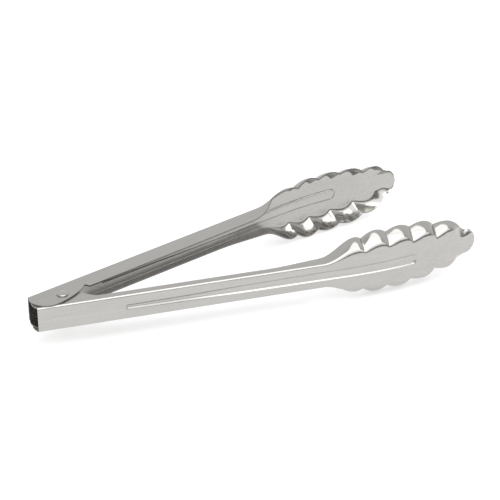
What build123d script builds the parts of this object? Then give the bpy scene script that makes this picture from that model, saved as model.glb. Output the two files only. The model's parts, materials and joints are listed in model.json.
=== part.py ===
from build123d import *
from math import cos, degrees, radians, sin, tan
import os

# Scalloped utility tongs, 300 mm long, lying on their side and open, in millimetres.
# Two identical sheet stampings hinge on one rivet. Each has a flat web, a wide flange with the
# outer pivot ear, a narrow flange with the inner pivot ear, and a dished head with scalloped rims.
# The far arm carries its outer ear on top; the near arm is the same stamping turned over.

# The stamping's own frame: x from the pivot towards the tip, y towards its web, z across the web.
SHEET = 0.9
WEB_HEIGHT = 17.2
WEB_Y = 11.7              # outer face of the web, from the pivot axis
BACK_END = 18.2           # from the pivot back to the end of the web
TIP = 280.0               # from the pivot to the tip
BEND_R = 1.5              # outside radius of the web's two bends
WIDE_FLANGE = 14.0
NARROW_FLANGE = 5.5
GROW_START = 130.0        # from here the narrow flange deepens towards the head
NARROW_JOIN = 9.0         # its depth where the head starts to spread
FLANGE_END = 181.0        # the wide flange has run out here, at a notch before the first scallop
NOTCH_FLOOR = 1.2
EAR_R = 11.5              # both ears start as this arc, which reaches behind the web's end
EAR_X = -9.0
EAR_CENTRE_DEPTH = 7.9    # under the web's outer face
EAR_FRONT = 18.0          # where both ears run out into their flanges

# The head: its web bends inwards on a long arc, and its rims lean outwards.
ARC_START = 185.0
ARC_R = 255.0
TIP_R = 8.8
RIM_DEPTH = 10.2
RIM_EDGE = 18.3           # depth under the straight web at which the last scallop levels off
RIM_END = 268.5
RIM_LEAN = 35.0
SPREAD_START = 168.0      # where the web starts to widen into the head
FIRST_VALLEY = 196.5
SCALLOP_PITCH = 17.8
VALLEY_WIDTHS = (12.9, 15.5, 15.3, 13.3, 8.4)
BULGE = 3.0               # how far each scallop stands out between its valleys
CHORD_TILT = 10.7         # the head's chord against the straight web
DRAWN_OUTSIDE = 6.0       # the dish is drawn on two planes, this far outside its chord
DRAWN_INSIDE = 16.0       # and this far inside it

# The stiffening rib is pressed inwards along the middle of the web.
RIB_START = 38.0
RIB_END = 234.0
RIB_WIDTH = 4.4
RIB_HEAD_WIDTH = 7.6
RIB_DEPTH = 0.8

# The pivot.
RIVET_R = 2.0
RUNNING_FIT = 0.05
EAR_GAP = 0.1             # between the outer ear of one arm and the inner ear of the other
HEAD_R = 3.7
HEAD_HEIGHT = 1.1
TAIL_R = 3.3
TAIL_HEIGHT = 0.9

# The opening spring, coiled round the rivet.
WIRE_R = 0.8
COIL_R = 3.7
COIL_PITCH = 1.7
COIL_TURNS = 4            # and the half turn between the two legs
LEG_LENGTH = 17.5         # from the coil to the foot that lies on the web
LEG_SLOPE = 20.9          # of a leg against its web
LEG_FOOT = 6.0
LEG_BEND_R = 3.0

# The pose: each arm stands this far from the centre line when the inner ears meet the webs.
HALF_OPENING = 11.6
STOP_GAP = 0.35           # leaves the ear just clear of the root of the other web's bend
PIN_X = -127.37           # puts the origin under the middle of the part
MID_Z = 22.99             # puts the lowest rim on the ground plane

half_height = WEB_HEIGHT / 2
arm_offset = (SHEET + EAR_GAP) / 2
web_inside = WEB_Y - SHEET
arc_centre = (ARC_START, WEB_Y - ARC_R)


def web_bend(x, depth=0.0):
    """y of the face that lies this far under the web's outer face, at x on the bent head."""
    return arc_centre[1] + ((ARC_R - depth) ** 2 - (x - ARC_START) ** 2) ** 0.5


def web_band(depth_from, depth_to, start=-BACK_END):
    """The strip between two depths under the web's outer face, from start to past the tip."""
    with BuildSketch() as strip:
        with BuildLine():
            outer = Line((start, WEB_Y - depth_from), (ARC_START, WEB_Y - depth_from))
            outer_bend = CenterArc(arc_centre, ARC_R - depth_from, 90, -25)
            inner = Line((start, WEB_Y - depth_to), (ARC_START, WEB_Y - depth_to))
            inner_bend = CenterArc(arc_centre, ARC_R - depth_to, 90, -25)
            Line(outer @ 0, inner @ 0)
            Line(outer_bend @ 1, inner_bend @ 1)
        make_face()
    return strip.sketch


def dish_plane(inside):
    """A plane parallel to the head's chord, this far inside it."""
    chord = Plane(
        origin=(ARC_START, WEB_Y, 0),
        x_dir=(cos(radians(CHORD_TILT)), -sin(radians(CHORD_TILT)), 0),
        z_dir=(-sin(radians(CHORD_TILT)), -cos(radians(CHORD_TILT)), 0),
    )
    return chord.offset(inside)


def dish_outline(inside, inset):
    """The scalloped outline of the head on one of those planes, moved in by inset."""
    spread = inside * tan(radians(RIM_LEAN)) - inset
    handle = half_height - inset
    tip = (TIP - ARC_START) / cos(radians(CHORD_TILT)) + spread
    first_u = FIRST_VALLEY - ARC_START
    valleys = [(first_u + i * SCALLOP_PITCH, width + spread) for i, width in enumerate(VALLEY_WIDTHS)]
    first = valleys[0]
    spread_start = SPREAD_START - ARC_START
    hump = (first[0] - 8.5, first[1] + BULGE / 2)
    halfway = (hump[0] - 9, handle + 0.5 * (hump[1] - handle))
    with BuildSketch(dish_plane(inside)) as outline:
        with BuildLine():
            Line((spread_start - 30, 0), (spread_start - 30, handle))
            Line((spread_start - 30, handle), (spread_start, handle))
            Spline((spread_start, handle), halfway, hump, first)
            for a, b in zip(valleys, valleys[1:]):
                ThreePointArc(a, ((a[0] + b[0]) / 2, (a[1] + b[1]) / 2 + BULGE), b)
            Line(valleys[-1], (tip, 0))
            mirror(about=Plane.XZ)
        make_face()
    return outline.sketch


# ---- tool shapes for the stamping ---------------------------------------------------------------

ear_centre = Vector(EAR_X, WEB_Y - EAR_CENTRE_DEPTH)
ear_back = ear_centre - Vector(EAR_R, 0)
ear_top = ear_centre - Vector(0, EAR_R)
web_corner = (-BACK_END, WEB_Y - 1.0)
wide_tail = (FLANGE_END, WEB_Y - NOTCH_FLOOR)
wide_join = (FLANGE_END + 1, WEB_Y - NOTCH_FLOOR)
narrow_join = (SPREAD_START, WEB_Y - NARROW_JOIN)
opening = radians(2 * HALF_OPENING)
stop_reach = web_inside - STOP_GAP

with BuildPart() as flange_plan:
    # the wide flange and the outer ear, on the upper side
    with BuildSketch():
        with BuildLine():
            ear_notch = (EAR_FRONT, WEB_Y - 10.6)
            flange_corner = (EAR_FRONT + 1.4, WEB_Y - WIDE_FLANGE)
            taper_start = (FLANGE_END - 27, WEB_Y - WIDE_FLANGE + 0.8)
            Line((-BACK_END, WEB_Y + 1), web_corner)
            ThreePointArc(web_corner, ear_back, ear_top)
            ThreePointArc(ear_top, (6.4, WEB_Y - 16.6), ear_notch)
            Line(ear_notch, flange_corner)
            Line(flange_corner, taper_start)
            Spline(
                taper_start,
                (FLANGE_END - 14, WEB_Y - 9.6),
                wide_tail,
                tangents=[(1, 0.05), (1, 0.6)],
            )
            Line(wide_tail, (FLANGE_END, WEB_Y + 1))
            Line((FLANGE_END, WEB_Y + 1), (-BACK_END, WEB_Y + 1))
        make_face()
    extrude(amount=half_height + 1)
    # the narrow flange and the inner ear, on the lower side
    with BuildSketch():
        with BuildLine():
            # a straight edge cuts the ear's arc where it meets the other arm's web in the open tongs
            across = Vector(-sin(opening), -cos(opening))
            stop_middle = ear_centre + (stop_reach + ear_centre.dot(-across)) * across
            half_stop = (EAR_R**2 - (stop_middle - ear_centre).length ** 2) ** 0.5
            stop_back = stop_middle + half_stop * Vector(-cos(opening), sin(opening))
            stop_front = stop_middle - half_stop * Vector(-cos(opening), sin(opening))
            flange_edge = WEB_Y - NARROW_FLANGE
            Line((-BACK_END, WEB_Y + 1), web_corner)
            ThreePointArc(web_corner, ear_back, stop_back)
            Line(stop_back, stop_front)
            Spline(
                stop_front,
                (12.4, WEB_Y - 12.0),
                (EAR_FRONT + 4, flange_edge),
                tangents=[(1, 0), (1, 0)],
            )
            Line((EAR_FRONT + 4, flange_edge), (GROW_START, flange_edge))
            Spline((GROW_START, flange_edge), narrow_join, tangents=[(1, 0), (1, -0.1)])
            Polyline(narrow_join, (SPREAD_START, WEB_Y + 1), (-BACK_END, WEB_Y + 1))
        make_face()
    extrude(amount=-half_height - 1)

with BuildPart() as dish_outside:
    add(dish_outline(-DRAWN_OUTSIDE, 0))
    add(dish_outline(DRAWN_INSIDE, 0))
    loft(ruled=True)

with BuildPart() as dish_inside:
    wall = SHEET / cos(radians(RIM_LEAN))
    add(dish_outline(-DRAWN_OUTSIDE - 1, wall))
    add(dish_outline(DRAWN_INSIDE + 1, wall))
    loft(ruled=True)

with BuildPart() as rim_depth:
    # the rims end in a line parallel to the web, level over the last scallop
    level_x = ARC_START + (ARC_R**2 - (ARC_R - RIM_EDGE + RIM_DEPTH) ** 2) ** 0.5
    for side, join, full_x in ((1, wide_join, 192), (-1, narrow_join, 186)):
        with BuildSketch():
            with BuildLine():
                full = (full_x, web_bend(full_x) - RIM_DEPTH)
                level = (level_x, WEB_Y - RIM_EDGE)
                Line((join[0], WEB_Y), join)
                Spline(join, full, tangents=[(1, -0.3 if side > 0 else -0.1), (1, -0.03)])
                middle_x = (full_x + level_x) / 2
                ThreePointArc(full, (middle_x, web_bend(middle_x) - RIM_DEPTH), level)
                Line(level, (RIM_END, WEB_Y - RIM_EDGE))
                Line((RIM_END, WEB_Y - RIM_EDGE), (RIM_END, web_bend(RIM_END)))
                ThreePointArc((RIM_END, web_bend(RIM_END)), (230, web_bend(230)), (ARC_START, WEB_Y))
                Line((ARC_START, WEB_Y), (join[0], WEB_Y))
            make_face()
        extrude(amount=side * 30)

with BuildPart() as rims:
    add(dish_outside.part)
    add(dish_inside.part, mode=Mode.SUBTRACT)
    add(rim_depth.part, mode=Mode.INTERSECT)

with BuildPart() as head_plan:
    # what the web covers seen from the side: the dish, then the round tip
    add(dish_outside.part)
    with BuildSketch(Plane.XZ):
        with Locations((TIP + 25, 0)):
            Rectangle(2 * (TIP + 25 - RIM_END), 80)
    extrude(amount=60, both=True, mode=Mode.SUBTRACT)
    with BuildSketch(Plane.XZ):
        with Locations((TIP - TIP_R, 0)):
            Circle(TIP_R)
    extrude(amount=60, both=True)

with BuildPart() as head_web:
    with BuildSketch():
        add(web_band(0, SHEET, start=SPREAD_START - 4))
    extrude(amount=30, both=True)
    add(head_plan.part, mode=Mode.INTERSECT)

with BuildPart() as rib_ridge:
    with BuildSketch():
        add(web_band(SHEET / 2, SHEET + RIB_DEPTH, start=RIB_START - 5))
    extrude(amount=8, both=True)
    with BuildSketch(Plane.XZ) as rib_outline:
        with Locations((RIB_START, 0)):
            Circle(RIB_WIDTH / 2)
        with Locations((RIB_END - RIB_HEAD_WIDTH / 2, 0)):
            Circle(RIB_HEAD_WIDTH / 2)
        make_hull()
    extrude(amount=60, both=True, mode=Mode.INTERSECT)

with BuildPart() as rib_groove:
    with BuildSketch():
        add(web_band(-0.5, RIB_DEPTH, start=RIB_START - 5))
    extrude(amount=8, both=True)
    with BuildSketch(Plane.XZ):
        add(offset(rib_outline.sketch, amount=-SHEET * 0.7, mode=Mode.PRIVATE))
    extrude(amount=60, both=True, mode=Mode.INTERSECT)

# ---- the stamping, once, in its own frame -------------------------------------------------------

with BuildPart() as stamping:
    with BuildSketch(Plane.YZ.offset(ear_back.X - 1)):
        with BuildLine():
            mouth = WEB_Y - EAR_CENTRE_DEPTH - EAR_R - 1
            FilletPolyline(
                (mouth, -half_height),
                (WEB_Y, -half_height),
                (WEB_Y, half_height),
                (mouth, half_height),
                radius=BEND_R,
            )
            offset(amount=SHEET, side=Side.LEFT)
        make_face()
    extrude(amount=FLANGE_END - ear_back.X + 1)
    add(flange_plan.part, mode=Mode.INTERSECT)
    add(head_web.part)
    add(rims.part)
    add(rib_ridge.part)
    add(rib_groove.part, mode=Mode.SUBTRACT)
    Cylinder(RIVET_R + RUNNING_FIT, WEB_HEIGHT + 4, mode=Mode.SUBTRACT)

# ---- the two arms, the same stamping either way up ----------------------------------------------

with BuildPart() as far_arm:
    stand = Location((PIN_X, 0, MID_Z + arm_offset), (0, 0, HALF_OPENING))
    add(stamping.part.moved(stand))

with BuildPart() as near_arm:
    turned_over = Location((PIN_X, 0, MID_Z - arm_offset), (180, 0, HALF_OPENING))
    add(stamping.part.moved(turned_over))

# ---- the rivet: formed tail under the lower ear, shank, low domed head over the upper ear --------

outer_ear = half_height + arm_offset
with BuildPart() as pivot_rivet:
    with BuildSketch(Plane((PIN_X, 0, MID_Z - outer_ear))):
        Circle(TAIL_R)
    extrude(amount=-TAIL_HEIGHT)
    fillet(pivot_rivet.edges().group_by(Axis.Z)[0], TAIL_HEIGHT * 0.6)
    with BuildSketch(Plane((PIN_X, 0, MID_Z - outer_ear))):
        Circle(RIVET_R)
    extrude(amount=2 * outer_ear + EAR_GAP)
    with BuildSketch(Plane((PIN_X, 0, MID_Z + outer_ear + EAR_GAP))):
        Circle(HEAD_R)
    extrude(amount=HEAD_HEIGHT)
    fillet(pivot_rivet.edges().group_by(Axis.Z)[-1], HEAD_HEIGHT * 0.7)

# ---- the opening spring: a coil round the shank, a leg to each web ------------------------------

leg_bow = radians(LEG_SLOPE + HALF_OPENING)
coil_height = COIL_PITCH * (COIL_TURNS + 0.5 - 2 * degrees(leg_bow) / 360)
with BuildLine() as coil:
    Helix(COIL_PITCH, coil_height, COIL_R, center=(0, 0, -coil_height / 2), lefthand=True)
turned_coil = coil.line.rotate(Axis.Z, -90 - degrees(leg_bow))

with BuildPart() as torsion_spring:
    with BuildLine() as wire:
        add(turned_coil)
        for end, along, side in ((0, -1, -1), (1, 1, 1)):
            leaves = turned_coil @ end
            bend = leaves + along * LEG_LENGTH * (turned_coil % end)
            web_direction = Vector(cos(radians(HALF_OPENING)), side * sin(radians(HALF_OPENING)), 0)
            FilletPolyline(leaves, bend, bend + LEG_FOOT * web_direction, radius=LEG_BEND_R)
    with BuildSketch(Plane(wire.line ^ 0)):
        Circle(WIRE_R)
    sweep(path=wire.line)
torsion_spring.part.locate(Location((PIN_X, 0, MID_Z)))

os.makedirs("parts", exist_ok=True)
far_arm.part.label = "far_arm"
near_arm.part.label = "near_arm"
pivot_rivet.part.label = "pivot_rivet"
torsion_spring.part.label = "torsion_spring"
export_step(far_arm.part, "parts/far_arm.step")
export_step(near_arm.part, "parts/near_arm.step")
export_step(pivot_rivet.part, "parts/pivot_rivet.step")
export_step(torsion_spring.part, "parts/torsion_spring.step")
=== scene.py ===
import json
from math import ceil, cos, hypot, pi, radians, sin, sqrt

import bmesh
import bpy
from mathutils import Matrix, Vector
from mathutils.geometry import delaunay_2d_cdt


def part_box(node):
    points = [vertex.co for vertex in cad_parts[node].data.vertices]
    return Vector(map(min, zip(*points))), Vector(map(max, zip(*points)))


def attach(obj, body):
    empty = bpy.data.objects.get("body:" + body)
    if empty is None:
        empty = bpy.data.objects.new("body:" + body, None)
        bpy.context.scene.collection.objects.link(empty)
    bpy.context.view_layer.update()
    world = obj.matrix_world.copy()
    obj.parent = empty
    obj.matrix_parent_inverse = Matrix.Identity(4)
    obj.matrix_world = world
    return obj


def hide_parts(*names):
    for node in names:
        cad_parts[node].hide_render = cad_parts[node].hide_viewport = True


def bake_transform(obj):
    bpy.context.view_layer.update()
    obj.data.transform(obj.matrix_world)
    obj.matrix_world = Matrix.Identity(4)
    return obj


# Scalloped utility tongs. Both arms are one sheet stamping, made here in its own frame: x from
# the pivot towards the tip, y towards the web, z across the web, in millimetres. It is then
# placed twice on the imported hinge. The rivet is lathed, and the spring is a bent round wire.

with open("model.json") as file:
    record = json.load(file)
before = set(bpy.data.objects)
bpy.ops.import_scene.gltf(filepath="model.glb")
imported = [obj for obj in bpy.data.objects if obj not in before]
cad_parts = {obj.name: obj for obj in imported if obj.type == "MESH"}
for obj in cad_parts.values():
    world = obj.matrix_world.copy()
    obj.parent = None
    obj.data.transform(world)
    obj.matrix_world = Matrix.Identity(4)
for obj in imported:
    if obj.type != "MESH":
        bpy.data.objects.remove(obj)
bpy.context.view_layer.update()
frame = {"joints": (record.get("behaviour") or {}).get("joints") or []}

MM = 0.001
PIN = Vector(frame["joints"][0]["pos_m"])

# ---- driving dimensions of the stamping ----------------------------------------------------------

SHEET = 0.9
EDGE_ROUND = 0.12              # an upper limit: the overlap clamp keeps it to a few micrometres
SHARP_FROM = radians(55)       # edges that turn by more than this are cut edges
HALF_OPENING = radians(11.6)   # of each arm, from the centre line
ARM_OFFSET = 0.5               # the far arm stands this much up the rivet, the near arm down
HALF_HEIGHT = 8.6              # half of the web's height, outside
WEB_Y = 11.7                   # outer face of the web, from the pivot axis
BACK_END = -18.2
BEND = 1.45                    # outside radius of the handle's bends
WIDE_DEPTH = 14.0
WIDE_TAPER = 154.0             # the wide flange tapers from here
WIDE_TAPER_DEPTH = 13.2
WIDE_END = 181.0               # to a notch here
NOTCH_FLOOR = 1.2
NARROW_DEPTH = 5.5
NARROW_GROW = 130.0
NARROW_JOIN_DEPTH = 9.0        # its depth where the head starts to spread

# the ears round the pivot
EAR_FRONT = (18.0, 10.6)       # x and depth of the notch in front of the outer ear
WIDE_START = 19.4              # the wide flange starts here
NARROW_START = 22.0            # the inner ear has run out into the narrow flange here
EAR_R = 11.5
EAR_CENTRE = (-9.0, 7.9)
STOP_DEPTH = 10.4              # the inner ear's stop edge, from the ear's centre
HOLE_R = 2.05

# the head
SPREAD = 168.0                 # the web starts to widen here
ARC_START = 185.0              # and to bend inwards here
ARC_R = 255.0
RIM_DEPTH = 10.2
RIM_LEVEL = 18.3               # the rims' edge levels off at this depth under the straight web
BASE_VALLEYS = ((196.0, 12.5), (213.0, 13.3), (230.4, 12.5), (248.0, 10.5), (265.2, 6.6))
EDGE_VALLEYS = ((196.2, 18.1), (213.8, 19.6), (231.2, 19.2), (249.4, 16.2), (268.4, 11.6))
BASE_BULGE = (2.7, 3.1, 3.7, 4.8)
EDGE_BULGE = (3.4, 2.7, 3.1, 3.4)
BASE_SKEW = 1.45               # over 1, the humps lean towards the tip
EDGE_SKEW = 1.1
BASE_SWELL = 17.5              # how far the first scallop's outline is pulled out, at the web
EDGE_SWELL = 24.5              # and at the rim's edge
LEAN_BASE = 50.0               # the rims' lean at the web, in degrees
LEAN_EDGE = 14.0               # and at their edge
FOLD_VALLEY = 1.4              # length of the fold on either side of its corner
FOLD_HUMP = 2.6
FOLD_SHARE = 0.42              # the most of a section that the fold's columns take

# The tip, where the rims run out: for each x, the narrow side's half width at the web, its edge's
# lead in x and its edge's half width, then the wide side's.
TIP_STATIONS = (
    (265.2, (6.6, 3.2, 11.6), (6.6, 3.2, 11.6)),
    (267.4, (5.0, 2.5, 9.8), (6.5, 2.7, 10.7)),
    (270.6, (4.4, 1.3, 8.7), (6.6, 1.4, 9.8)),
    (274.0, (4.9, 0.6, 8.5), (6.8, 0.7, 8.9)),
    (276.6, (6.0, 0.2, 7.0), (6.4, 0.2, 7.2)),
    (278.6, (4.2, 0.05, 4.7), (4.2, 0.05, 4.7)),
    (279.5, (1.9, 0.0, 2.2), (1.9, 0.0, 2.2)),
    (279.68, (1.2, 0.0, 1.45), (1.2, 0.0, 1.45)),
)

# the rib along the web
RIB_START = 36.8
RIB_END = 234.0
RIB_HALF = 2.2
RIB_HEAD_HALF = 3.9
RIB_DEPTH = 1.0
RIB_WALL = (2.1, 1.15)         # width of its sloping walls, at the handle and at the head
RIB_CRISP = (70.0, 120.0)      # over this stretch they steepen

# columns and rows of the mesh
RIB_FLOOR_COLUMNS = 3
RIB_WALL_COLUMNS = 7
SIDE_COLUMNS = 6
FOLD_COLUMNS = 7
RIM_COLUMNS = 9
WING = FOLD_COLUMNS + RIM_COLUMNS
HANDLE_SPANS = (
    (BACK_END, WIDE_START, 1.25),
    (WIDE_START, NARROW_START, 1.3),
    (NARROW_START, 34.0, 2.0),
    (34.0, 42.0, 0.45),
    (42.0, 150.0, 3.0),
    (150.0, SPREAD, 1.0),
)
FIRST_SCALLOP_ROWS = 40
SCALLOP_ROWS = 26
TIP_ROWS = (5, 5, 5, 5, 5, 4, 1)       # from each station of the tip to the next
TIP_STRIDES = (1, 1, 1, 1, 2, 4, 4)    # those rows keep every column, every second or every fourth
HOLE_SIDES = 40
LAST_COLUMN = 2 * (WING + SIDE_COLUMNS + RIB_WALL_COLUMNS + RIB_FLOOR_COLUMNS)


def mix(a, b, t):
    return a + (b - a) * t


def smooth(t):
    t = min(max(t, 0.0), 1.0)
    return t * t * (3 - 2 * t)


def bezier(points, t):
    """A point of a Bezier curve of any degree."""
    points = [Vector(p) for p in points]
    while len(points) > 1:
        points = [a.lerp(b, t) for a, b in zip(points, points[1:])]
    return points[0]


def arc_through(a, b, c, count):
    """Points of the circular arc from a through b to c."""
    a, b, c = Vector(a), Vector(b), Vector(c)
    ab, ac = b - a, c - a
    twice = 2 * (ab.x * ac.y - ab.y * ac.x)
    centre = a + Vector(
        (ac.y * ab.dot(ab) - ab.y * ac.dot(ac), ab.x * ac.dot(ac) - ac.x * ab.dot(ab))
    ) / twice
    start, turn = a - centre, (a - centre).angle_signed(c - centre)
    if (a - centre).angle_signed(b - centre) * turn < 0:
        turn -= 2 * pi if turn > 0 else -2 * pi
    points = []
    for i in range(count + 1):
        points.append(centre + Matrix.Rotation(-turn * i / count, 2) @ start)
    return points


def web_y(x):
    """The web's outer face, which bends inwards over the head."""
    return WEB_Y if x < ARC_START else WEB_Y - ARC_R + sqrt(ARC_R**2 - (x - ARC_START) ** 2)


# ---- outlines of the head ------------------------------------------------------------------------


def outline(s, valleys, bulges, swell, skew):
    """(x, half width) of a scalloped outline. s counts the valleys, and is 0 at the handle."""
    if s <= 1:
        leave, rise = (SPREAD, HALF_HEIGHT), (SPREAD + 10, HALF_HEIGHT)
        return bezier((leave, rise, (SPREAD + 20, swell), valleys[0]), s)
    i = min(int(s) - 1, len(bulges) - 1)
    t = s - 1 - i
    a, b = Vector(valleys[i]), Vector(valleys[i + 1])
    out = Vector((a.y - b.y, b.x - a.x)).normalized()
    u = t**skew
    return a.lerp(b, t) + out * bulges[i] * 4 * u * (1 - u)


def rim_edge_y(x):
    """The whole rim's free edge: a fixed depth under the bent web, then level."""
    return max(web_y(x) - RIM_DEPTH, WEB_Y - RIM_LEVEL)


def wide_depth(x):
    """Depth of the wide flange's free edge, with the notch in front of the first scallop."""
    if x < WIDE_TAPER:
        return mix(WIDE_DEPTH, WIDE_TAPER_DEPTH, (x - WIDE_START) / (WIDE_TAPER - WIDE_START))
    if x < WIDE_END:
        return mix(WIDE_TAPER_DEPTH, NOTCH_FLOOR, ((x - WIDE_TAPER) / (WIDE_END - WIDE_TAPER)) ** 1.65)
    return mix(NOTCH_FLOOR, RIM_DEPTH, smooth((x - WIDE_END - 0.5) / 11) ** 0.8)


def narrow_depth(x):
    """Depth of the narrow flange's free edge, which runs on into the first scallop."""
    if x < NARROW_GROW:
        return NARROW_DEPTH
    if x < SPREAD:
        t = (x - NARROW_GROW) / (SPREAD - NARROW_GROW)
        return mix(NARROW_DEPTH, NARROW_JOIN_DEPTH, t * t * (2 - t))
    return mix(NARROW_JOIN_DEPTH, RIM_DEPTH, smooth((x - SPREAD + 6) / 24))


# ---- sections across the stamping ----------------------------------------------------------------


def lengths_along(path):
    lengths = [0.0]
    for a, b in zip(path, path[1:]):
        lengths.append(lengths[-1] + (b - a).length)
    return lengths


def at_length(path, lengths, wanted):
    i = 1
    while i < len(path) - 1 and lengths[i] < wanted:
        i += 1
    step = max(lengths[i] - lengths[i - 1], 1e-9)
    return path[i - 1].lerp(path[i], min(1.0, (wanted - lengths[i - 1]) / step))


def side_section(base, edge, fold, leans, cut):
    """(depth, half width) points from the web over the fold to the free edge at depth cut.

    base is the half width at the web, and edge the (depth, half width) of the whole rim's edge.
    """
    corner, rim_end = Vector((0, base)), Vector(edge)
    pull = (rim_end - corner).length / 3
    near_web, near_edge = (pull * Vector((cos(radians(a)), sin(radians(a)))) for a in leans)
    rim = [bezier((corner, corner + near_web, rim_end - near_edge, rim_end), i / 24) for i in range(25)]
    rim_lengths = lengths_along(rim)
    leaves, start = at_length(rim, rim_lengths, fold), corner - Vector((0, fold))
    handles = (start, start.lerp(corner, 0.55), leaves.lerp(corner, 0.55), leaves)
    path = [bezier(handles, i / 12) for i in range(13)]
    fold_length = lengths_along(path)[-1]
    path += [p for p, length in zip(rim, rim_lengths) if length > fold + 0.05]
    kept = [p for p in path if p.x <= cut]
    if len(kept) < len(path):
        a, b = kept[-1], path[len(kept)]
        kept.append(a.lerp(b, (cut - a.x) / max(b.x - a.x, 1e-9)))
    lengths = lengths_along(kept)
    fold_length = min(fold_length, FOLD_SHARE * lengths[-1])
    steps = [fold_length * i / FOLD_COLUMNS for i in range(1, FOLD_COLUMNS)]
    steps += [mix(fold_length, lengths[-1], i / RIM_COLUMNS) for i in range(RIM_COLUMNS + 1)]
    return [at_length(kept, lengths, step) for step in steps]


def rib_section(x):
    """The rib's half width, which grows towards the head, and the width of its walls."""
    t = min(max((x - RIB_START) / (RIB_END - RIB_START), 0.0), 1.0)
    crisp = smooth((x - RIB_CRISP[0]) / (RIB_CRISP[1] - RIB_CRISP[0]))
    return mix(RIB_HALF, RIB_HEAD_HALF, t), mix(*RIB_WALL, crisp)


def rib_inset(x, z):
    """How far the web is pressed in by the rib."""
    half, wall = rib_section(x)
    beyond = min(x - RIB_START - RIB_HALF, 0.0) + max(x - RIB_END + RIB_HEAD_HALF, 0.0)
    return RIB_DEPTH * smooth((half - hypot(beyond, z)) / wall)


def web_columns(x, reaches):
    """z of the web's columns, out to its half width on either side, closest on the rib's walls."""
    half, wall = rib_section(x)
    sides = []
    for reach in reaches:
        fit = min(1.0, 0.62 * reach / (half + 0.2))
        floor, top = fit * (half - wall), fit * (half + 0.2)
        zs = [floor * i / RIB_FLOOR_COLUMNS for i in range(RIB_FLOOR_COLUMNS)]
        zs += [mix(floor, top, i / RIB_WALL_COLUMNS) for i in range(RIB_WALL_COLUMNS)]
        zs += [mix(top, reach, i / SIDE_COLUMNS) for i in range(SIDE_COLUMNS + 1)]
        sides.append(zs)
    return [-z for z in reversed(sides[0][1:])] + sides[1]


def full_row(x, reaches, wings):
    """One row of points from the narrow side's free edge over the web to the wide side's."""
    web = [Vector((x, web_y(x) - rib_inset(x, z), z)) for z in web_columns(x, reaches)]
    narrow, wide = ([Vector((p[0], web_y(x) - p[1], p[2])) for p in wing] for wing in wings)
    return [Vector((p.x, p.y, -p.z)) for p in reversed(narrow)] + web + wide


def handle_row(x):
    wings = []
    for cut in (narrow_depth(x), wide_depth(max(x, WIDE_START))):
        section = side_section(HALF_HEIGHT, (max(cut, 2 * BEND), HALF_HEIGHT), BEND, (0, 0), cut)
        wings.append([(x, p.x, p.y) for p in section])
    return full_row(x, [HALF_HEIGHT - BEND] * 2, wings)


def head_row(s):
    base = outline(s, BASE_VALLEYS, BASE_BULGE, BASE_SWELL, BASE_SKEW)
    edge = outline(s, EDGE_VALLEYS, EDGE_BULGE, EDGE_SWELL, EDGE_SKEW)
    opening = smooth(s / 0.75)
    hump = sin(pi * (s % 1.0)) if s > 1 else smooth((1 - s) * 4)
    fold = mix(BEND, mix(FOLD_VALLEY, FOLD_HUMP, hump), smooth(s * 1.5))
    whole = web_y(base.x) - rim_edge_y(edge.x)
    wings = []
    for depth in (narrow_depth, wide_depth):
        cut = whole * depth(base.x) / RIM_DEPTH
        leans = (LEAN_BASE * opening, LEAN_EDGE * opening)
        section = side_section(base.y, (whole, edge.y), fold, leans, cut)
        wings.append([(mix(base.x, edge.x, p.x / whole), p.x, p.y) for p in section])
    return full_row(base.x, [base.y - fold] * 2, wings)


def through(stations, i, t):
    """A smooth curve through the stations, at the fraction t after the i-th one."""
    before, start = stations[max(i - 1, 0)], stations[i]
    end, after = stations[i + 1], stations[min(i + 2, len(stations) - 1)]
    point = []
    for a, b, c, d in zip(before, start, end, after):
        square = a - 2.5 * b + 2 * c - d / 2
        cube = 1.5 * (b - c) + (d - a) / 2
        point.append(b + t * ((c - a) / 2 + t * (square + t * cube)))
    return point


def tip_row(i, t):
    """A row of the tip. The rims' edge stays level there while the web comes down to it."""
    stations = [(x, *narrow, *wide) for x, narrow, wide in TIP_STATIONS]
    x, *sides = through(stations, i, t)
    gone = (i + t) / (len(stations) - 1)
    wings, reaches = [], []
    for base, lead, edge in (sides[:3], sides[3:]):
        whole = max(web_y(x) - rim_edge_y(x + lead), 0.12)
        fold = min(mix(FOLD_VALLEY, 0.5, gone), 0.4 * base)
        leans = (mix(LEAN_BASE, 70, gone), mix(LEAN_EDGE, 45, gone))
        section = side_section(base, (whole, edge), fold, leans, whole)
        wings.append([(x + lead * p.x / whole, p.x, p.y) for p in section])
        reaches.append(base - fold)
    return full_row(x, reaches, wings)


# ---- the stamping's mesh -------------------------------------------------------------------------


def ear_back():
    """(x, depth) of the arc both ears start with, from the web's end to their deepest point."""
    centre = Vector(EAR_CENTRE)
    first = centre + Vector((-9.2, -6.4)).normalized() * EAR_R
    last = centre + Vector((0, EAR_R))
    return arc_through(first, centre - Vector((EAR_R, 0)), last, 26)


def wide_ear():
    return ear_back() + arc_through((EAR_CENTRE[0], EAR_CENTRE[1] + EAR_R), (6.4, 16.6), EAR_FRONT, 22)[1:]


def narrow_ear():
    """The inner ear: its arc is cut straight where it stops on the other arm's web."""
    across = Vector((-sin(2 * HALF_OPENING), cos(2 * HALF_OPENING)))
    along = Vector((across.y, -across.x))
    centre = Vector(EAR_CENTRE)
    half_stop = sqrt(EAR_R**2 - STOP_DEPTH**2)
    back, front = (centre + across * STOP_DEPTH + along * half_stop * side for side in (-1, 1))
    arc = [p for p in ear_back() if (p - centre).dot(across) < STOP_DEPTH - 0.05]
    sweep = (front, (11.0, front.y), (15.0, NARROW_DEPTH), (NARROW_START, NARROW_DEPTH))
    return arc + [back.lerp(front, i / 4) for i in range(4)] + [bezier(sweep, i / 20) for i in range(20)]


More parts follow.
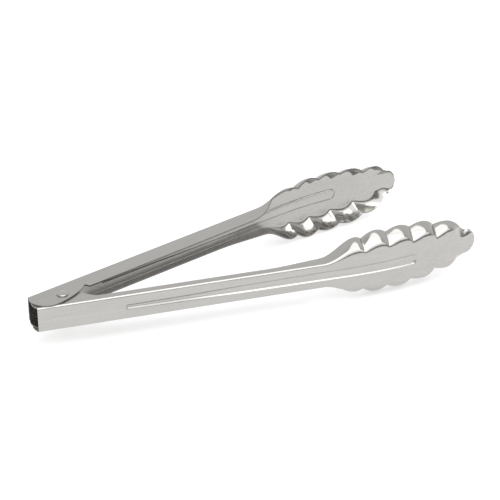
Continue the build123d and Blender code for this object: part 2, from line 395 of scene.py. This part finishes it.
def fill_ear(mesh, line, outer, plane_z):
    """Fills an ear between the vertices of line and its outline, round the rivet's hole."""
    new = [mesh.verts.new((x, WEB_Y - depth, plane_z)) for x, depth in outer]
    rim = line + list(reversed(new))
    hole = []
    for i in range(HOLE_SIDES):
        angle = 2 * pi * i / HOLE_SIDES
        hole.append(mesh.verts.new((HOLE_R * cos(angle), HOLE_R * sin(angle), plane_z)))
    ring = rim + hole
    edges = [(i, (i + 1) % len(rim)) for i in range(len(rim))]
    edges += [(len(rim) + i, len(rim) + (i + 1) % HOLE_SIDES) for i in range(HOLE_SIDES)]
    flat = [Vector((v.co.x, v.co.y)) for v in ring]
    places, _, triangles, origins, _, _ = delaunay_2d_cdt(flat, edges, [], 1, 1e-5)
    for triangle in triangles:
        middle = sum((places[i] for i in triangle), Vector((0, 0))) / 3
        if middle.length < HOLE_R * 0.98:
            continue
        corners = [ring[origins[i][0]] for i in triangle]
        face = mesh.faces.new(corners)
        face.normal_update()
        if face.normal.z * plane_z < 0:
            face.normal_flip()


def handle_stations():
    xs = []
    for start, end, step in HANDLE_SPANS:
        count = ceil((end - start) / step)
        xs += [mix(start, end, i / count) for i in range(count)]
    return xs


def stamping_mesh():
    """The stamping's outer faces as one open sheet, with how polished each point is.

    Each row is kept as {column: vertex}. Towards the tip's end the rows keep fewer columns.
    """
    mesh = bmesh.new()
    polish = mesh.verts.layers.float.new("polish")
    sheet_place = mesh.verts.layers.float_vector.new("sheet_place")
    xs = handle_stations()
    rows = [handle_row(x) for x in xs]
    rows += [head_row(i / FIRST_SCALLOP_ROWS) for i in range(FIRST_SCALLOP_ROWS)]
    rows += [head_row(1 + i / SCALLOP_ROWS) for i in range(4 * SCALLOP_ROWS)]
    strides = [1] * len(rows)
    for i, (count, stride) in enumerate(zip(TIP_ROWS, TIP_STRIDES)):
        rows += [tip_row(i, j / count) for j in range(count)]
        strides += [stride] * count
    rows.append(tip_row(len(TIP_STATIONS) - 2, 1.0))
    strides.append(TIP_STRIDES[-1])
    narrow_rows, wide_rows = (sum(x < start - 0.01 for x in xs) for start in (NARROW_START, WIDE_START))
    verts = []
    for i, row in enumerate(rows):
        first = RIM_COLUMNS if i < narrow_rows else 0
        last = LAST_COLUMN - RIM_COLUMNS if i < wide_rows else LAST_COLUMN
        verts.append({j: mesh.verts.new(row[j]) for j in range(first, last + 1) if j % strides[i] == 0})
    for i, (a, b) in enumerate(zip(verts, verts[1:])):
        fine, coarse = strides[i], strides[i + 1]
        for j in range(0, LAST_COLUMN, coarse):
            corners = [a.get(k) for k in range(j, j + coarse + 1, fine)] + [b.get(j + coarse), b.get(j)]
            if all(corners):
                mesh.faces.new(corners)
    narrow_line = [row[RIM_COLUMNS] for row in verts[: narrow_rows + 1]]
    narrow_line += [verts[narrow_rows][j] for j in reversed(range(RIM_COLUMNS))]
    wide_line = [row[LAST_COLUMN - RIM_COLUMNS] for row in verts[: wide_rows + 1]]
    wide_line += [verts[wide_rows][j] for j in range(LAST_COLUMN - RIM_COLUMNS + 1, LAST_COLUMN + 1)]
    fill_ear(mesh, narrow_line, narrow_ear(), -HALF_HEIGHT)
    fill_ear(mesh, wide_line, wide_ear(), HALF_HEIGHT)
    for row in verts:
        for j, v in row.items():
            from_web = max(WING - j, j - (LAST_COLUMN - WING), 0) / 4
            v[polish] = smooth(from_web) * mix(0.1, 1.0, smooth((v.co.x - SPREAD) / 20))
    for v in mesh.verts:
        v[sheet_place] = v.co
        v.co *= MM
    data = bpy.data.meshes.new("stamping")
    mesh.to_mesh(data)
    mesh.free()
    data.shade_smooth()
    return data


def sheet_piece(name, data, place):
    """The open sheet given its thickness, with its cut edges eased, as one placed piece."""
    data.transform(place)
    piece = bpy.data.objects.new(name, data)
    bpy.context.scene.collection.objects.link(piece)
    thick = piece.modifiers.new("thickness", "SOLIDIFY")
    thick.thickness = SHEET * MM
    thick.offset = -1
    thick.use_even_offset = True
    # The inner faces take the second material, which paints shade on the web along the handle.
    thick.material_offset = 1
    # The cut edges take the third material, a steel painted dark as shade.
    thick.material_offset_rim = 2
    eased = piece.modifiers.new("eased edges", "BEVEL")
    eased.width = EDGE_ROUND * MM
    eased.segments = 2
    eased.limit_method = "ANGLE"
    eased.angle_limit = SHARP_FROM
    piece.modifiers.new("normals", "WEIGHTED_NORMAL").keep_sharp = True
    return piece


# ---- materials -----------------------------------------------------------------------------------


class Nodes:
    """A material's node tree, with one short call for each node and its links."""

    def __init__(self, name):
        self.material = bpy.data.materials.new(name)
        self.material.use_nodes = True
        self.tree = self.material.node_tree
        self.shader = self.tree.nodes["Principled BSDF"]

    def add(self, kind, inputs=None, **settings):
        node = self.tree.nodes.new(kind)
        for key, value in settings.items():
            setattr(node, key, value)
        for key, value in (inputs or {}).items():
            if isinstance(value, bpy.types.NodeSocket):
                self.tree.links.new(value, node.inputs[key])
            else:
                node.inputs[key].default_value = value
        return node

    def drive(self, key, socket):
        self.tree.links.new(socket, self.shader.inputs[key])

    def noise(self, place, stretch, detail, turn=0.0):
        """Noise with its grain stretched: stretch is the frequency along x, y and z."""
        mapped = self.add(
            "ShaderNodeMapping",
            {"Vector": place, "Scale": stretch, "Rotation": (0, turn, 0)},
        )
        node = self.add("ShaderNodeTexNoise", {"Vector": mapped.outputs[0], "Scale": 1.0, "Detail": detail})
        return node.outputs["Fac"]

    def remap(self, value, low, high, to_low, to_high):
        node = self.add(
            "ShaderNodeMapRange",
            {"Value": value, "From Min": low, "From Max": high, "To Min": to_low, "To Max": to_high},
        )
        return node.outputs[0]

    def math(self, operation, a, b):
        return self.add("ShaderNodeMath", {0: a, 1: b}, operation=operation).outputs[0]


def tinted(nodes, value, dark, light):
    """A colour between dark and light."""
    ramp = nodes.add("ShaderNodeValToRGB", {"Fac": value})
    ramp.color_ramp.elements[0].color = (*dark, 1)
    ramp.color_ramp.elements[1].color = (*light, 1)
    return ramp.outputs["Color"]


def stainless(name, dark, light, satin, polished, channel_shade=1.0):
    """Rolled stainless sheet: fine grain along the arm, faint smears and scratches, brighter rims.

    The last argument is how far the web is darkened along the handle, as painted shade of the channel's
    inside, and 1 leaves it as it is. Frequencies are per millimetre of the stamping's own frame. The rims'
    polish also shows small dents.
    """
    nodes = Nodes(name)
    place = nodes.add("ShaderNodeAttribute", attribute_name="sheet_place").outputs["Vector"]
    polish = nodes.add("ShaderNodeAttribute", attribute_name="polish").outputs["Fac"]
    grain = nodes.noise(place, (0.055, 2.6, 2.6), 3)
    broad = nodes.noise(place, (0.018, 0.42, 0.42), 2)
    smear = nodes.noise(place, (0.038, 0.062, 0.062), 4)
    scratch = nodes.noise(place, (0.03, 0.03, 2.4), 2, turn=0.35)
    scratch = nodes.remap(scratch, 0.68, 0.74, 0.0, 1.0)
    base = nodes.remap(polish, 0.0, 1.0, satin, polished)
    rough = nodes.math("ADD", base, nodes.remap(grain, 0.25, 0.75, -0.03, 0.03))
    rough = nodes.math("ADD", rough, nodes.remap(smear, 0.3, 0.7, -0.02, 0.03))
    rough = nodes.math("ADD", rough, nodes.math("MULTIPLY", scratch, 0.07))
    nodes.drive("Roughness", rough)
    smeared = nodes.remap(smear, 0.3, 0.7, 0.05, 0.25)
    shade = nodes.math("ADD", nodes.remap(broad, 0.3, 0.7, 0.3, 0.6), smeared)
    apart = nodes.add("ShaderNodeSeparateXYZ", {0: place})
    # Painted shade: away from the flanges, the tip and the pivot end, the web is darkened, as the channel's
    # inside lies in shade.
    off_web = nodes.remap(nodes.math("ABSOLUTE", apart.outputs[2], 0.0), 7.0, 7.8, 0.0, 1.0)
    ahead = nodes.remap(apart.outputs[0], 110.0, 190.0, 0.0, 1.0)
    behind = nodes.remap(apart.outputs[0], 30.0, 16.0, 0.0, 1.0)
    out_of_shade = nodes.math("MAXIMUM", off_web, nodes.math("MAXIMUM", ahead, behind))
    shade_darkening = nodes.remap(out_of_shade, 0.0, 1.0, channel_shade, 1.0)
    steel = tinted(nodes, shade, dark, light)
    colour = nodes.add("ShaderNodeVectorMath", {0: steel, 1: shade_darkening}, operation="MULTIPLY")
    nodes.drive("Base Color", colour.outputs[0])
    fine = nodes.add("ShaderNodeBump", {"Strength": 0.06, "Distance": 0.00003, "Height": grain})
    wavy = nodes.noise(place, (0.07, 0.11, 0.11), 1)
    dents = nodes.noise(place, (0.2, 0.24, 0.24), 1)
    dented = nodes.math("MULTIPLY", dents, nodes.math("MULTIPLY", polish, 0.4))
    wavy = nodes.math("ADD", wavy, dented)
    ripple = nodes.add(
        "ShaderNodeBump",
        {"Strength": 0.35, "Distance": 0.0006, "Height": wavy, "Normal": fine.outputs[0]},
    )
    nodes.drive("Normal", ripple.outputs[0])
    nodes.shader.inputs["Metallic"].default_value = 1.0
    return nodes.material


def turned_steel(name, dark, light, rough, ring):
    """Headed or drawn steel: close rings or lines, and a little tarnish."""
    nodes = Nodes(name)
    where = nodes.add("ShaderNodeTexCoord").outputs["Object"]
    tarnish = nodes.noise(where, (420, 420, 420), 4)
    lines = nodes.noise(where, ring, 2)
    nodes.drive("Base Color", tinted(nodes, tarnish, dark, light))
    varied = nodes.math("ADD", nodes.remap(tarnish, 0.3, 0.7, rough - 0.05, rough + 0.07),
                        nodes.remap(lines, 0.3, 0.7, -0.04, 0.04))
    nodes.drive("Roughness", varied)
    bump = nodes.add("ShaderNodeBump", {"Strength": 0.25, "Distance": 0.00005, "Height": lines})
    nodes.drive("Normal", bump.outputs[0])
    nodes.shader.inputs["Metallic"].default_value = 1.0
    return nodes.material


# ---- rivet and spring ----------------------------------------------------------------------------

TAIL_HEIGHT = 0.9
HEAD_HEIGHT = 1.1


def lathe(name, profile, turns=64):
    """A closed body of revolution about the pin from (radius, z) points, in millimetres."""
    mesh = bmesh.new()
    rings = []
    for radius, z in profile:
        if radius == 0:
            rings.append([mesh.verts.new((0, 0, z * MM))] * turns)
            continue
        ring = []
        for i in range(turns):
            angle = 2 * pi * i / turns
            ring.append(mesh.verts.new((radius * cos(angle) * MM, radius * sin(angle) * MM, z * MM)))
        rings.append(ring)
    for a, b in zip(rings, rings[1:]):
        for i in range(turns):
            k = (i + 1) % turns
            corners = list(dict.fromkeys((a[i], a[k], b[k], b[i])))
            mesh.faces.new(corners)
    bmesh.ops.recalc_face_normals(mesh, faces=mesh.faces)
    data = bpy.data.meshes.new(name)
    mesh.to_mesh(data)
    mesh.free()
    data.shade_smooth()
    piece = bpy.data.objects.new(name, data)
    bpy.context.scene.collection.objects.link(piece)
    piece.location = (PIN.x, PIN.y, 0)
    return piece


def rivet_profile():
    """From the middle of the formed tail, up the shank, to the middle of the head."""
    low, high = (corner.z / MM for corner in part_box("pivot_rivet"))
    under, over = low + TAIL_HEIGHT, high - HEAD_HEIGHT
    return (
        (0, low + 0.28), (0.7, low + 0.24), (1.3, low + 0.08), (1.8, low), (2.5, low + 0.04),
        (3.0, low + 0.2), (3.22, low + 0.42), (3.3, low + 0.65), (3.22, under - 0.05), (3.1, under),
        (2.05, under), (2.0, under + 0.05), (2.0, over - 0.05), (2.05, over),
        (3.5, over), (3.64, over + 0.06), (3.7, over + 0.2), (3.66, over + 0.42), (3.48, over + 0.66),
        (3.1, over + 0.84), (2.5, over + 0.94), (1.7, over + 1.01), (0.9, high - 0.03), (0, high),
    )


# The spring, in millimetres. None of it can be seen in the photograph.
WIRE_R = 0.8
COIL_R = 3.7
COIL_PITCH = 1.7
COIL_TURNS = 4.5
COIL_SIDES = 28                # points to a turn
LEG_LENGTH = 17.5
LEG_SLOPE = radians(20.9)
LEG_FOOT = 6.0
LEG_BEND_R = 3.0
WIRE_END = 0.15                # the wire narrows over this length at its ends
WIRE_END_SCALE = 0.8           # to this share of its radius


def rounded_corner(a, corner, b, radius, count=8):
    """Points of the bend of that radius between two straight runs."""
    back, on = (a - corner).normalized(), (b - corner).normalized()
    half = back.angle(on) / 2
    reach = radius * cos(half) / sin(half)
    start, end = corner + back * reach, corner + on * reach
    return [bezier((start, start.lerp(corner, 0.6), end.lerp(corner, 0.6), end), i / count)
            for i in range(count + 1)]


def spring_route():
    """The wire's centre line about the pin: foot, leg, coil, leg, foot."""
    bow = LEG_SLOPE + HALF_OPENING
    turns = COIL_TURNS - 2 * bow / (2 * pi)
    height = COIL_PITCH * turns
    count = int(turns * COIL_SIDES)
    coil = []
    for i in range(count + 1):
        angle = -pi / 2 - bow - 2 * pi * turns * i / count
        coil.append(Vector((COIL_R * cos(angle), COIL_R * sin(angle), height * (i / count - 0.5))))
    rise = COIL_PITCH / (2 * pi * COIL_R)
    ends = []
    for point, side in ((coil[0], -1), (coil[-1], 1)):
        radial = Vector((point.x, point.y, 0)).normalized()
        tangent = side * Vector((radial.y, -radial.x, rise)).normalized()
        bend = point + tangent * LEG_LENGTH
        foot = bend + LEG_FOOT * Vector((cos(HALF_OPENING), side * sin(HALF_OPENING), 0))
        leg = [point.lerp(bend, i / 10) for i in range(1, 9)]
        ends.append(leg + rounded_corner(point, bend, foot, LEG_BEND_R) + [foot])
    return list(reversed(ends[0])) + coil + ends[1]


def wire(name, route, radius):
    """A round wire along the route, as a mesh with slightly rounded ends."""
    curve = bpy.data.curves.new(name, "CURVE")
    curve.dimensions = "3D"
    curve.bevel_depth = radius * MM
    curve.bevel_resolution = 5
    curve.use_fill_caps = True
    first, last = route[0], route[-1]
    route = [first] + [first.lerp(route[1], WIRE_END / (route[1] - first).length)] + route[1:-1]
    route += [last.lerp(route[-1], WIRE_END / (route[-1] - last).length), last]
    spline = curve.splines.new("POLY")
    spline.points.add(len(route) - 1)
    for point, place in zip(spline.points, route):
        point.co = (*(place * MM), 1)
    spline.points[0].radius = spline.points[-1].radius = WIRE_END_SCALE
    shaped = bpy.data.objects.new(name + "_route", curve)
    bpy.context.scene.collection.objects.link(shaped)
    bpy.context.view_layer.update()
    data = bpy.data.meshes.new_from_object(shaped.evaluated_get(bpy.context.evaluated_depsgraph_get()))
    bpy.data.objects.remove(shaped)
    data.name = name
    data.shade_smooth()
    piece = bpy.data.objects.new(name, data)
    bpy.context.scene.collection.objects.link(piece)
    piece.location = PIN
    return piece


# ---- the pieces ----------------------------------------------------------------------------------

STEEL_DARK = (0.402, 0.392, 0.376)
STEEL_LIGHT = (0.49, 0.478, 0.46)
SATIN = 0.27                   # roughness of the web and the handle
POLISHED = 0.13                # and of the head's rims

arm_steel = stainless("arm_steel", STEEL_DARK, STEEL_LIGHT, SATIN, POLISHED)
# The inner faces take this copy: its web is darkened along the handle as painted shade of the channel's
# inside.
arm_inside_shaded = stainless("arm_inside_shaded", STEEL_DARK, STEEL_LIGHT, SATIN, POLISHED, channel_shade=0.65)
# Painted shade: the cut edges get a much darker steel than the sheet, for the dark lines of shade along
# them and in the gaps between the ears.
edge_shade_steel = turned_steel("edge_painted_shade", (0.17, 0.167, 0.163), (0.27, 0.266, 0.26), 0.42, (900, 900, 2600))
rivet_steel = turned_steel("rivet_steel", (0.38, 0.373, 0.365), (0.54, 0.532, 0.52), 0.13, (60, 60, 3000))
spring_steel = turned_steel(
    "spring_steel", (0.3, 0.3, 0.305), (0.46, 0.46, 0.465), 0.26, (1800, 1800, 1800)
)

sheet = stamping_mesh()
arm_lift = Vector((0, 0, ARM_OFFSET * MM))
far_place = Matrix.Translation(PIN + arm_lift) @ Matrix.Rotation(HALF_OPENING, 4, "Z")
near_place = (
    Matrix.Translation(PIN - arm_lift)
    @ Matrix.Rotation(pi, 4, "X")
    @ Matrix.Rotation(HALF_OPENING, 4, "Z")
)
for name, body, place, node in (
    ("far_arm_stamping", "far_half", far_place, "far_arm"),
    ("near_arm_stamping", "near_half", near_place, "near_arm"),
):
    arm = sheet_piece(name, sheet.copy(), place)
    arm.data.materials.append(arm_steel)
    arm.data.materials.append(arm_inside_shaded)
    arm.data.materials.append(edge_shade_steel)
    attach(arm, body)
    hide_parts(node)

rivet = lathe("rivet", rivet_profile())
rivet.data.materials.append(rivet_steel)
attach(rivet, "near_half")
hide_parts("pivot_rivet")

spring = wire("spring_wire", spring_route(), WIRE_R)
spring.data.materials.append(spring_steel)
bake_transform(spring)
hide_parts("torsion_spring")

# ---- floor, light and camera ---------------------------------------------------------------------

FLOOR_HALF = 8.0
FLOOR_GREY = 0.55
FLOOR_GLOW = 0.5               # lifts the floor to white, as in the photograph
FRONT_LEVEL = 1.7              # of the bright studio in front, above the horizon
SUN_ENERGY = 1.15
SUN_ANGLE = radians(60)
SUN_FROM = (0.05, -0.3, 0.95)


def make_floor():
    mesh = bmesh.new()
    bmesh.ops.create_grid(mesh, x_segments=8, y_segments=8, size=FLOOR_HALF)
    data = bpy.data.meshes.new("floor")
    mesh.to_mesh(data)
    mesh.free()
    floor = bpy.data.objects.new("floor", data)
    bpy.context.scene.collection.objects.link(floor)
    nodes = Nodes("floor_paper")
    nodes.shader.inputs["Base Color"].default_value = (FLOOR_GREY, FLOOR_GREY, FLOOR_GREY, 1)
    nodes.shader.inputs["Roughness"].default_value = 0.9
    nodes.shader.inputs["Specular IOR Level"].default_value = 0.1
    nodes.shader.inputs["Emission Color"].default_value = (1, 1, 1, 1)
    nodes.shader.inputs["Emission Strength"].default_value = FLOOR_GLOW
    data.materials.append(nodes.material)


def make_light():
    """One broad soft source overhead, and a studio that is pale behind the object and dim in front.

    In front, above the horizon, the studio is bright: it fills the far arm's inside and its rims.
    """
    sun = bpy.data.lights.new("overhead", "SUN")
    sun.energy = SUN_ENERGY
    sun.angle = SUN_ANGLE
    lamp = bpy.data.objects.new("overhead", sun)
    lamp.rotation_mode = "QUATERNION"
    lamp.rotation_quaternion = Vector(SUN_FROM).to_track_quat("Z", "Y")
    bpy.context.scene.collection.objects.link(lamp)
    world = bpy.data.worlds.new("studio")
    world.use_nodes = True
    tree = world.node_tree
    where = tree.nodes.new("ShaderNodeTexCoord")

    def ramp(axis, limits):
        """The level along an axis, eased from limits[2] at limits[0] to limits[3] at limits[1]."""
        towards = tree.nodes.new("ShaderNodeVectorMath")
        towards.operation = "DOT_PRODUCT"
        towards.inputs[1].default_value = axis
        tree.links.new(where.outputs["Generated"], towards.inputs[0])
        level = tree.nodes.new("ShaderNodeMapRange")
        level.interpolation_type = "SMOOTHSTEP"
        for key, value in zip(("From Min", "From Max", "To Min", "To Max"), limits):
            level.inputs[key].default_value = value
        tree.links.new(towards.outputs["Value"], level.inputs["Value"])
        return level.outputs[0]

    def join(operation, a, b):
        node = tree.nodes.new("ShaderNodeMath")
        node.operation = operation
        tree.links.new(a, node.inputs[0])
        tree.links.new(b, node.inputs[1])
        return node.outputs[0]

    backdrop = ramp((0.47, 0.88, 0.0), (-0.45, 0.35, 0.27, 0.88))
    facing = ramp((-0.47, -0.88, 0.0), (-0.05, 0.3, 0.0, 1.0))
    raised = ramp((0.0, 0.0, 1.0), (0.14, 0.46, 0.0, FRONT_LEVEL))
    strength = join("MAXIMUM", backdrop, join("MULTIPLY", facing, raised))
    tree.nodes["Background"].inputs["Color"].default_value = (1, 1, 1, 1)
    tree.links.new(strength, tree.nodes["Background"].inputs["Strength"])
    bpy.context.scene.world = world


CAMERA_TARGET = Vector((-0.01263, -0.03382, 0.04899))
CAMERA_AZIMUTH = radians(-28.119)
CAMERA_ELEVATION = radians(28.283)
CAMERA_ROLL = radians(-0.547)
CAMERA_DISTANCE = 1.21428
CAMERA_LENS = 138.83


def make_camera():
    camera = bpy.data.objects.new("camera", bpy.data.cameras.new("camera"))
    camera.data.sensor_width = 36.0
    camera.data.lens = CAMERA_LENS
    camera.data.clip_start = 0.05
    back = Vector(
        (
            sin(CAMERA_AZIMUTH) * cos(CAMERA_ELEVATION),
            -cos(CAMERA_AZIMUTH) * cos(CAMERA_ELEVATION),
            sin(CAMERA_ELEVATION),
        )
    )
    camera.location = CAMERA_TARGET + back * CAMERA_DISTANCE
    level = (-back).to_track_quat("-Z", "Y").to_matrix().to_4x4()
    camera.matrix_world = Matrix.Translation(camera.location) @ level @ Matrix.Rotation(CAMERA_ROLL, 4, "Z")
    bpy.context.scene.collection.objects.link(camera)
    bpy.context.scene.camera = camera


make_floor()
make_light()
make_camera()
bpy.context.scene.view_settings.view_transform = "Standard"
bpy.context.view_layer.update()
